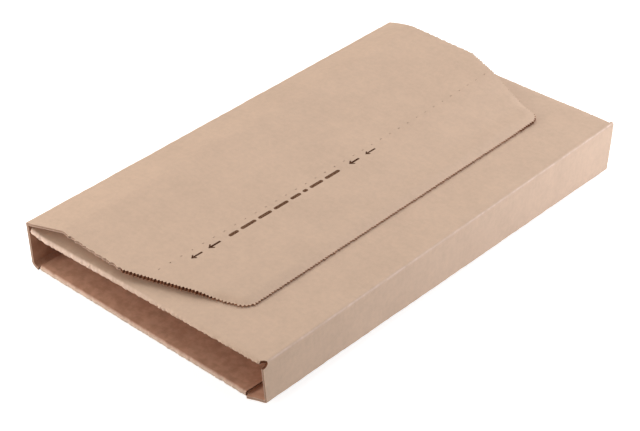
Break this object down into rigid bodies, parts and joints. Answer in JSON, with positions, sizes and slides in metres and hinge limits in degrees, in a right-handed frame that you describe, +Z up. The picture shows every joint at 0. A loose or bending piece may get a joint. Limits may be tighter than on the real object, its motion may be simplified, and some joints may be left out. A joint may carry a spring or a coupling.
{
  "type": "wraparound mailer",
  "caption": "Sealed wraparound mailer of folded corrugated board, open at both short ends, with a toothed outer flap and a tear line.",
  "frame": {"origin": "on the base, in the middle of the mailer's outer box", "axes": "+X across the mailer from the flap's crease to the right side, +Y along the creases towards the higher end, +Z up"},
  "size_m": [0.1782, 0.308, 0.0437],
  "materials": {
    "kraft_board": "uncoated brown kraft liner, matt",
    "hot_melt_adhesive": "milky pressure-sensitive adhesive"
  },
  "bodies": {
    "root": {"folded_board": "kraft_board", "self_seal_strip": "hot_melt_adhesive"}
  },
  "joints": []
}
